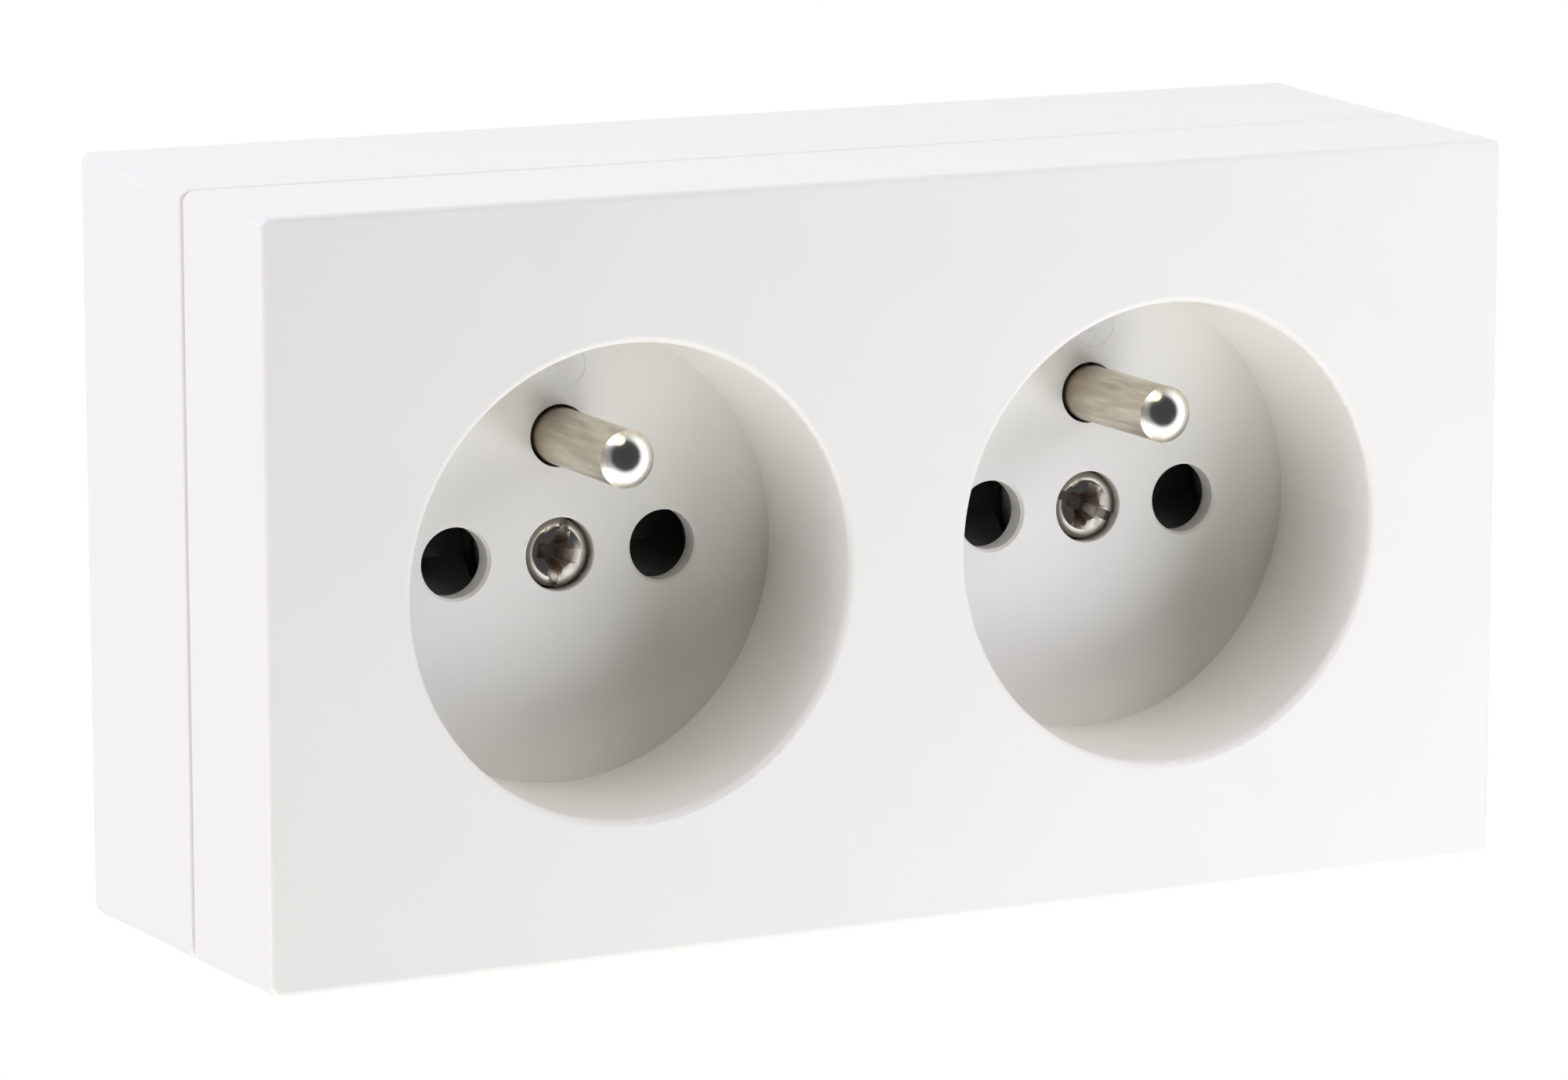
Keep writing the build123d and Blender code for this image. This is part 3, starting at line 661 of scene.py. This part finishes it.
@dataclass
class Sheet:
    """Points and faces of a mesh in the making, in millimetres."""

    points: list[tuple[float, float, float]]
    faces: list[tuple[int, ...]]

    @classmethod
    def empty(cls) -> "Sheet":
        """A sheet with nothing in it."""
        return cls([], [])

    def add(self, points: Iterable[Sequence[float]], faces: Iterable[Sequence[int]]) -> None:
        """Adds points and faces.

        Args:
            points: The new points.
            faces: The new faces, which count from the first of these points.
        """
        start = len(self.points)
        self.points.extend(tuple(point) for point in points)
        self.faces.extend(tuple(start + index for index in face) for face in faces)

    def loop(self, rings: Sequence[Sequence[Sequence[float]]], closed: bool) -> None:
        """Joins rings of points one to the next.

        Args:
            rings: The rings, with as many points each.
            closed: Whether the last joins the first; otherwise both get a cap.
        """
        count = len(rings[0])
        points = [point for ring in rings for point in ring]
        faces = []
        for ring in range(len(rings) if closed else len(rings) - 1):
            here, there = ring * count, (ring + 1) % len(rings) * count
            for step in range(count):
                turn = (step + 1) % count
                faces.append((here + step, here + turn, there + turn, there + step))
        if not closed:
            faces.append(tuple(reversed(range(count))))
            faces.append(tuple(range((len(rings) - 1) * count, len(rings) * count)))
        self.add(points, faces)

    def build(self, name: str) -> bpy.types.Object:
        """Makes the object, in metres, with its faces as they were added.

        Args:
            name: Name of the object.

        Returns:
            The new object, linked to the scene.
        """
        mesh = bpy.data.meshes.new(name)
        mesh.from_pydata([[c * MM for c in point] for point in self.points], [], self.faces)
        mesh.validate()
        return link(name, mesh)


def link(name: str, data: bpy.types.ID | None) -> bpy.types.Object:
    """Makes an object of its data and links it to the scene.

    Args:
        name: Name of the object.
        data: Its mesh, light or camera.

    Returns:
        The new object, at the origin.
    """
    made = bpy.data.objects.new(name, data)
    bpy.context.scene.collection.objects.link(made)
    return made


def finish_piece(
    obj: bpy.types.Object, finish: Finish, wardrobe: Wardrobe, body: str = HOUSING
) -> None:
    """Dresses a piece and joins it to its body.

    Args:
        obj: The piece.
        finish: Its finish.
        wardrobe: Where its material comes from.
        body: The body that it moves with.
    """
    wardrobe.dress(obj, finish)
    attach(obj, body)
    LOG.info("piece %s: %d faces on %s", obj.name, len(obj.data.polygons), body)


# ---- Geometry Nodes ----


class Kind(Enum):
    """Socket classes of a recipe's inputs."""

    FLOAT = "NodeSocketFloat"
    WHOLE = "NodeSocketInt"
    VECTOR = "NodeSocketVector"
    MATERIAL = "NodeSocketMaterial"


ROUND_INPUTS = {
    "Radius": Kind.FLOAT,
    "Length": Kind.FLOAT,
    "Ridge": Kind.FLOAT,
    "Place": Kind.VECTOR,
    "Material": Kind.MATERIAL,
}


class Recipe:
    """A Geometry Nodes tree with named inputs, for what repeats round an axis."""

    def __init__(self, name: str, inputs: Mapping[str, Kind]) -> None:
        """Starts the tree.

        Args:
            name: Name of the tree.
            inputs: Its inputs by name, ROUND_INPUTS among them.
        """
        self.tree = bpy.data.node_groups.new(name, "GeometryNodeTree")
        self.nodes = Nodes(self.tree)
        self.identifiers: dict[str, str] = {}
        sockets = self.tree.interface
        for key, kind in inputs.items():
            made = sockets.new_socket(key, in_out="INPUT", socket_type=kind.value)
            self.identifiers[key] = made.identifier
        sockets.new_socket("Geometry", in_out="OUTPUT", socket_type="NodeSocketGeometry")
        self.group = self.nodes.add("NodeGroupInput")

    def given(self, name: str) -> Wire:
        """The wire of one named input."""
        return Wire(self.nodes, self.group.outputs[name])

    def close(self, geometry: bpy.types.NodeSocket) -> None:
        """Ends the tree: laid along Y at its place, as real meshes in the given material.

        Args:
            geometry: What the tree has made, along Z.
        """
        add = self.nodes.add
        turn = (QUARTER_TURN, 0.0, 0.0)
        laid = add(
            "GeometryNodeTransform",
            None,
            {"Geometry": geometry, "Rotation": turn, "Translation": self.given("Place")},
        )
        real = add("GeometryNodeRealizeInstances", None, {"Geometry": laid.outputs["Geometry"]})
        dressed = add(
            "GeometryNodeSetMaterial",
            None,
            {"Geometry": real.outputs["Geometry"], "Material": self.given("Material")},
        )
        add("NodeGroupOutput", None, {"Geometry": dressed.outputs["Geometry"]})

    def bake(self, name: str, values: Mapping[str, object]) -> bpy.types.Object:
        """Runs the tree once and keeps its result as a plain mesh.

        Args:
            name: Name of the object.
            values: Value of each named input.

        Returns:
            The new object, with no modifier.
        """
        carrier = link(f"{name}_carrier", bpy.data.meshes.new(f"{name}_carrier"))
        modifier = carrier.modifiers.new("recipe", "NODES")
        modifier.node_group = self.tree
        for key, value in values.items():
            modifier[self.identifiers[key]] = value
        bpy.context.view_layer.update()
        evaluated = carrier.evaluated_get(bpy.context.evaluated_depsgraph_get())
        mesh = bpy.data.meshes.new_from_object(evaluated)
        mesh.name = name
        bpy.data.objects.remove(carrier)
        return link(name, mesh)


def thread_recipe(steps: int = 20, corners: int = 4) -> Recipe:
    """A pointed ridge that winds round a shank.

    Args:
        steps: Steps in one turn.
        corners: Corners of the ridge's profile.

    Returns:
        The recipe, with Turns as its own input.
    """
    recipe = Recipe("thread", {**ROUND_INPUTS, "Turns": Kind.FLOAT})
    spiral = recipe.nodes.add(
        "GeometryNodeCurveSpiral",
        None,
        {
            "Resolution": steps,
            "Rotations": recipe.given("Turns"),
            "Start Radius": recipe.given("Radius"),
            "End Radius": recipe.given("Radius"),
            "Height": recipe.given("Length"),
        },
    )
    profile = recipe.nodes.add(
        "GeometryNodeCurvePrimitiveCircle",
        {"mode": "RADIUS"},
        {"Resolution": corners, "Radius": recipe.given("Ridge")},
    )
    curves = {"Curve": spiral.outputs["Curve"], "Profile Curve": profile.outputs["Curve"]}
    ridge = recipe.nodes.add("GeometryNodeCurveToMesh", None, {**curves, "Fill Caps": True})
    recipe.close(ridge.outputs["Mesh"])
    return recipe


def knurl_recipe() -> Recipe:
    """Straight ridges round a bush, each with an edge outwards.

    Returns:
        The recipe, with Count as its own input.
    """
    recipe = Recipe("knurl", {**ROUND_INPUTS, "Count": Kind.WHOLE})
    nodes = recipe.nodes
    width = recipe.given("Ridge")
    circle = nodes.add(
        "GeometryNodeMeshCircle",
        None,
        {"Vertices": recipe.given("Count"), "Radius": recipe.given("Radius")},
    )
    corner = {"X": width, "Y": width, "Z": recipe.given("Length")}
    size = nodes.out("ShaderNodeCombineXYZ", "Vector", None, corner)
    bar = nodes.add("GeometryNodeMeshCube", None, {"Size": size})
    x, y, _ = nodes.parts(nodes.out("GeometryNodeInputPosition", "Position"))
    angle = nodes.maths("ARCTAN2", y, x) + QUARTER_TURN / 2
    turn = nodes.out("ShaderNodeCombineXYZ", "Vector", None, {"Z": angle})
    ridges = nodes.add(
        "GeometryNodeInstanceOnPoints",
        None,
        {"Points": circle.outputs["Mesh"], "Instance": bar.outputs["Mesh"], "Rotation": turn},
    )
    recipe.close(ridges.outputs["Instances"])
    return recipe


# ---- The socket ----


@dataclass(frozen=True)
class SignSize:
    """Sizes of the raised earth sign on a well's floor, in millimetres.

    Attributes:
        right_of_well: How far its middle is to the right of the well's.
        above_well: How far it is above it.
        ring_r: Radius of the ring, to the middle of its line.
        line: Width of the lines.
        height: How far they stand out.
        sunk: How far they reach into the floor.
        stem: Length of the stem, from the first bar up.
        bars: Lengths of the bars, from the top down.
        bar_pitch: Distance from bar to bar.
        steps: Points round the ring.
    """

    right_of_well: float = 0.5
    above_well: float = 15.9
    ring_r: float = 1.95
    line: float = 0.22
    height: float = 0.045
    sunk: float = 0.02
    stem: float = 1.2
    bars: tuple[float, ...] = (1.9, 1.25, 0.6)
    bar_pitch: float = 0.5
    steps: int = 48

    @property
    def taper(self) -> float:
        """How far each side of a line leans in on its way up."""
        return self.line / 4


@dataclass(frozen=True)
class EarthSign:
    """The faint raised ring with the general earth symbol, on one well's floor.

    Attributes:
        side: The well's side.
        centre: The middle of the ring on the floor, in millimetres.
        size: Its sizes.
    """

    side: str
    centre: Vector
    size: SignSize

    def ring(self, sheet: Sheet) -> None:
        """Adds the ring, with a profile that narrows to its top.

        Args:
            sheet: The mesh that it joins.
        """
        size, centre = self.size, self.centre
        foot = size.line / 2
        top = foot - size.taper
        profile = (
            (-foot, size.sunk),
            (-top, -size.height),
            (top, -size.height),
            (foot, size.sunk),
        )
        rings = []
        for step in range(size.steps):
            angle = 2 * math.pi * step / size.steps
            right, up = math.cos(angle), math.sin(angle)
            rings.append(
                [
                    (
                        centre.x + right * (size.ring_r + across),
                        centre.y + depth,
                        centre.z + up * (size.ring_r + across),
                    )
                    for across, depth in profile
                ]
            )
        sheet.loop(rings, closed=True)

    def bar(self, sheet: Sheet, z: float, width: float, height: float) -> None:
        """Adds one raised bar, which narrows to its top.

        Args:
            sheet: The mesh that it joins.
            z: Height of its middle above the sign's.
            width: Its size from left to right.
            height: Its size from top to bottom.
        """
        size, centre = self.size, self.centre
        rings = []
        for inset, depth in ((0.0, size.sunk), (size.taper, -size.height)):
            right, up = width / 2 - inset, height / 2 - inset
            rings.append(
                [
                    (centre.x + right * sx, centre.y + depth, centre.z + z + up * sz)
                    for sx, sz in ((-1, -1), (1, -1), (1, 1), (-1, 1))
                ]
            )
        sheet.loop(rings, closed=False)

    def build(self, wardrobe: Wardrobe) -> None:
        """Makes the sign and dresses it as part of the cover.

        Args:
            wardrobe: Where its material comes from.
        """
        size = self.size
        sheet = Sheet.empty()
        self.ring(sheet)
        self.bar(sheet, size.stem / 2, size.line, size.stem)
        for index, length in enumerate(size.bars):
            self.bar(sheet, -index * size.bar_pitch, length, size.line)
        finish_piece(sheet.build(f"earth_sign_{self.side}"), WHITE, wardrobe)


@dataclass(frozen=True)
class ThreadSize:
    """A screw's thread and the plain shank that it winds round, in millimetres.

    Attributes:
        pitch: Distance from turn to turn.
        ridge: How far the ridge stands out.
        shank_r: Radius of the shank.
        head_t: Thickness of the head.
        start_gap: Plain length at the tip.
        end_gap: Plain length under the head.
    """

    pitch: float
    ridge: float
    shank_r: float
    head_t: float
    start_gap: float = 0.4
    end_gap: float = 0.6


@dataclass(frozen=True)
class Threads:
    """The threads of all screws, wound on their plain shanks.

    Attributes:
        wardrobe: Where the materials come from.
        cover: Thread of the cover screws.
        base: Thread of the base screws.
        terminal: Thread of the terminal screws.
    """

    wardrobe: Wardrobe
    cover: ThreadSize = ThreadSize(pitch=0.7, ridge=0.10, shank_r=1.95, head_t=2.3)
    base: ThreadSize = ThreadSize(pitch=0.8, ridge=0.12, shank_r=1.45, head_t=1.9)
    terminal: ThreadSize = ThreadSize(pitch=0.5, ridge=0.10, shank_r=1.45, head_t=1.8)

    def wind(self, recipe: Recipe, node: str, size: ThreadSize, finish: Finish) -> None:
        """Winds one thread on a screw whose head is at its outer end.

        Args:
            recipe: The recipe of a thread.
            node: CAD node of the screw.
            size: The thread.
            finish: The screw's finish.
        """
        low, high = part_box(node)
        near = high.y - size.start_gap * MM
        far = low.y + (size.head_t + size.end_gap) * MM
        length = near - far
        thread = recipe.bake(
            f"{node}_thread",
            {
                "Radius": size.shank_r * MM,
                "Turns": length / (size.pitch * MM),
                "Length": length,
                "Ridge": size.ridge * MM,
                "Place": ((low.x + high.x) / 2, near, (low.z + high.z) / 2),
                "Material": self.wardrobe.get(finish),
            },
        )
        finish_piece(thread, finish, self.wardrobe)

    def build(self) -> None:
        """Winds every thread."""
        recipe = thread_recipe()
        for side in SIDES:
            self.wind(recipe, f"cover_screw_{side}", self.cover, SCREW_NICKEL)
            self.wind(recipe, f"base_screw_{side}", self.base, STEEL)
        for pole in ("live", "neutral", "earth"):
            self.wind(recipe, f"{pole}_terminal_screw", self.terminal, STEEL)


@dataclass(frozen=True)
class Knurls:
    """The straight knurls of the two threaded inserts, in millimetres.

    Attributes:
        wardrobe: Where the materials come from.
        count: Ridges round one insert.
        ridge: Width of a ridge's square bar.
        sunk: Share of that width from the insert's surface in to the bar's middle.
        plain: Length of the insert that has no knurl, both ends together.
    """

    wardrobe: Wardrobe
    count: int = 28
    ridge: float = 0.16
    sunk: float = 1 / 3
    plain: float = 0.6

    def build(self) -> None:
        """Makes the knurl of each insert."""
        recipe = knurl_recipe()
        for side in SIDES:
            low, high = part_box(f"threaded_insert_{side}")
            knurl = recipe.bake(
                f"insert_knurl_{side}",
                {
                    "Radius": (high.x - low.x) / 2 - self.ridge * self.sunk * MM,
                    "Count": self.count,
                    "Length": high.y - low.y - self.plain * MM,
                    "Ridge": self.ridge * MM,
                    "Place": tuple((low + high) / 2),
                    "Material": self.wardrobe.get(BRASS),
                },
            )
            finish_piece(knurl, BRASS, self.wardrobe)


@dataclass(frozen=True)
class Springs:
    """The coil springs that the shutters' slides press, as copies of the CAD springs.

    Attributes:
        wardrobe: Where the materials come from.
    """

    wardrobe: Wardrobe

    def coil(self, node: str, joint: Mapping[str, object], fixed_end: float) -> None:
        """Makes the coil that stands for one CAD spring, and hides the CAD spring.

        Args:
            node: CAD node of the spring.
            joint: The slide that presses it.
            fixed_end: Height of its fixed end, in metres; not used.
        """
        solid = frame["nodes"][node]
        mesh = solid.data.copy()
        mesh.transform(solid.matrix_world)
        coil = link(f"{node}_coil", mesh)
        finish_piece(coil, STEEL, self.wardrobe, joint["parent"])
        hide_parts(node)
        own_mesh(coil)

    def build(self) -> None:
        """Makes the coil of each spring that a joint presses."""
        for joint in frame["joints"]:
            for item in joint.get("deforming_nodes", ()):
                self.coil(item["node"], joint, item["fixed_end_z_m"])


@dataclass(frozen=True)
class Socket:
    """The whole socket: the CAD pieces in their finishes and what only Blender adds.

    Attributes:
        wardrobe: Where the materials come from.
        well_depth: From the cover's front to a well's floor, in millimetres.
        sign_size: Sizes of the earth signs.
    """

    wardrobe: Wardrobe
    well_depth: float = 14.5
    sign_size: SignSize = SignSize()

    @staticmethod
    def finish_of(node: str) -> Finish:
        """Chooses the finish of one CAD node.

        Args:
            node: Name of the node.

        Returns:
            Its finish.
        """
        if node in ("front_cover", "wall_box"):
            return WHITE
        if node.startswith(("socket_base", "contact_cover")):
            return GREY
        if node.startswith("earth_pin"):
            return PIN_NICKEL
        if node.startswith("cover_screw"):
            return SCREW_NICKEL
        if node.startswith("shutter_spring") or "screw" in node:
            return STEEL
        if node.startswith("shutter"):
            return BLACK
        return BRASS

    def dress(self) -> None:
        """Gives every CAD node its finish."""
        for name, node in frame["nodes"].items():
            finish = self.finish_of(name)
            self.wardrobe.dress(node, finish)
            LOG.info("node %s in %s", name, finish.name)

    def sign(self, side: str) -> EarthSign:
        """Places one well's earth sign above its cover screw.

        Args:
            side: The well's side.

        Returns:
            The sign, not yet built.
        """
        low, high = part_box(f"cover_screw_{side}")
        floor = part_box("front_cover")[0].y + self.well_depth * MM
        x = (low.x + high.x) / 2 / MM + self.sign_size.right_of_well
        z = (low.z + high.z) / 2 / MM + self.sign_size.above_well
        return EarthSign(side, Vector((x, floor / MM, z)), self.sign_size)

    def build(self) -> None:
        """Dresses the CAD nodes and adds the rest."""
        self.dress()
        for side in SIDES:
            self.sign(side).build(self.wardrobe)
        Threads(self.wardrobe).build()
        Knurls(self.wardrobe).build()
        Springs(self.wardrobe).build()


# ---- The studio ----


@dataclass(frozen=True)
class Lamp:
    """A round softbox that faces the socket.

    Attributes:
        name: Name of the lamp.
        azimuth: Degrees to the right of the socket's front.
        elevation: Degrees above it.
        distance: Metres from the socket's middle.
        size: Width of the softbox, in metres.
        power: Watts.
        colour: Colour, linear.
        mirrored: Whether mirrors show it.
    """

    name: str
    azimuth: float
    elevation: float
    distance: float
    size: float
    power: float
    colour: Colour
    mirrored: bool

    def build(self, aim: Vector) -> None:
        """Makes the lamp.

        Args:
            aim: The point that it faces.
        """
        data = bpy.data.lights.new(self.name, "AREA")
        data.shape = "DISK"
        data.size = self.size
        data.energy = self.power
        data.color = self.colour
        lamp = link(self.name, data)
        around, up = math.radians(self.azimuth), math.radians(self.elevation)
        level = math.cos(up)
        away = Vector((math.sin(around) * level, -math.cos(around) * level, math.sin(up)))
        lamp.location = aim + away * self.distance
        lamp.rotation_euler = (-away).to_track_quat("-Z", "Y").to_euler()
        lamp.visible_camera = False
        lamp.visible_glossy = self.mirrored
        lamp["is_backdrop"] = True
        LOG.info("lamp %s", self.name)


LAMPS = (
    Lamp("left_back", -100.0, -30.0, 0.9, 0.6, 2.95, (1.000, 0.977, 0.962), mirrored=True),
    Lamp("left_back_high", -100.0, 50.0, 0.9, 0.6, 5.74, (0.886, 0.878, 1.000), mirrored=True),
    Lamp("left_low", -60.0, -50.0, 0.9, 0.6, 4.28, (0.978, 0.980, 1.000), mirrored=True),
    Lamp("left_high", -60.0, 60.0, 0.9, 0.6, 2.54, (0.869, 0.857, 1.000), mirrored=True),
    Lamp("front_high", -20.0, 60.0, 0.9, 0.6, 1.36, (1.000, 0.980, 0.691), mirrored=True),
    Lamp("front_low", 0.0, -45.0, 0.6, 0.42, 1.60, (1.000, 0.983, 0.913), mirrored=False),
    Lamp("right_low", 35.0, -25.0, 0.4, 0.18, 0.66, (0.855, 0.880, 1.000), mirrored=False),
    Lamp("key_right", 50.0, 25.0, 0.4, 0.22, 0.75, (0.927, 0.915, 1.000), mirrored=False),
    Lamp("back", 180.0, 0.0, 0.9, 0.3, 6.50, (1.000, 0.985, 0.977), mirrored=False),
)


@dataclass(frozen=True)
class Room:
    """What the lens and mirrors see all round; dull surfaces get no light from it.

    Attributes:
        background: Brightness of the white that the lens sees.
        white_level: Brightness of the white that mirrors show.
        grey_side: Direction of the room's grey part, which only mirrors show.
        grey_level: Brightness of that part.
        grey_edge: Cosines of the angles from its middle where it ends and where it is full.
        dark_side: Direction of the room's dark part, which only mirrors show.
        dark_level: Brightness of that part.
        dark_edge: Cosines of the angles from its middle where it ends and where it is full.
    """

    background: float = 1.0
    white_level: float = 1.15
    grey_side: tuple[float, float, float] = (-0.577, -0.577, 0.577)
    grey_level: float = 0.36
    grey_edge: Span = (0.10, 0.72)
    dark_side: tuple[float, float, float] = (0.069, -0.988, 0.139)
    dark_level: float = 0.055
    dark_edge: Span = (0.56, 0.76)

    def build(self) -> None:
        """Makes the world."""
        world = bpy.data.worlds.new("studio")
        world.use_nodes = True
        world.node_tree.nodes.clear()
        nodes = Nodes(world.node_tree)
        path = nodes.add("ShaderNodeLightPath")
        camera = Wire(nodes, path.outputs["Is Camera Ray"])
        mirror = Wire(nodes, path.outputs["Is Glossy Ray"])
        through = Wire(nodes, path.outputs["Is Transmission Ray"])
        towards = nodes.out("ShaderNodeTexCoord", "Generated")
        dark = nodes.dot(towards, self.dark_side).ramp(*self.dark_edge)
        grey = nodes.dot(towards, self.grey_side).ramp(*self.grey_edge)
        white = self.white_level * (1 - grey) + self.grey_level * grey
        reflected = white * (1 - dark) + self.dark_level * dark
        seen = nodes.maths("MAXIMUM", camera, through)
        plain = seen * self.background + mirror * reflected
        light = nodes.add("ShaderNodeBackground", None, {"Color": (1, 1, 1, 1), "Strength": plain})
        nodes.add("ShaderNodeOutputWorld", None, {"Surface": light.outputs["Background"]})
        bpy.context.scene.world = world


@dataclass(frozen=True)
class Lens:
    """The camera that fits the photo's edges, rims and holes.

    Attributes:
        place: Camera position in millimetres.
        turn: Rotation vector from the socket's frame to one that looks along Z with Y down.
        focal_px: Focal length in pixels of the full image.
        width_px: Width of the full image in pixels.
        sensor_mm: Width of the sensor.
        reach: Nearest and farthest distance that it sees, in metres.
    """

    place: tuple[float, float, float] = (-252.399, -519.274, 100.839)
    turn: tuple[float, float, float] = (1.717, -0.406, 0.338)
    focal_px: float = 8503.514
    width_px: float = 2000.0
    sensor_mm: float = 36.0
    reach: Span = (0.01, 10.0)

    def build(self) -> None:
        """Makes the camera and makes it the scene's own."""
        data = bpy.data.cameras.new("photo_camera")
        data.sensor_fit = "HORIZONTAL"
        data.sensor_width = self.sensor_mm
        data.lens = self.focal_px * self.sensor_mm / self.width_px
        data.clip_start, data.clip_end = self.reach
        camera = link("photo_camera", data)
        turn = Vector(self.turn)
        to_view = Matrix.Rotation(turn.length, 3, turn.normalized())
        right, down, ahead = to_view.row
        axes = Matrix((right, -down, -ahead)).transposed()
        camera.matrix_world = Matrix.Translation(Vector(self.place) * MM) @ axes.to_4x4()
        bpy.context.scene.camera = camera


def build_studio() -> None:
    """Makes the camera, the lamps and the room."""
    bpy.context.scene.view_settings.view_transform = "Standard"
    low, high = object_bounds()
    Lens().build()
    Room().build()
    for lamp in LAMPS:
        lamp.build((low + high) / 2)


def main() -> None:
    """Builds the socket and the studio round it."""
    logging.basicConfig(level=logging.INFO, format="%(name)s: %(message)s")
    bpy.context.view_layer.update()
    Socket(Wardrobe()).build()
    build_studio()


if __name__ == "__main__":
    main()
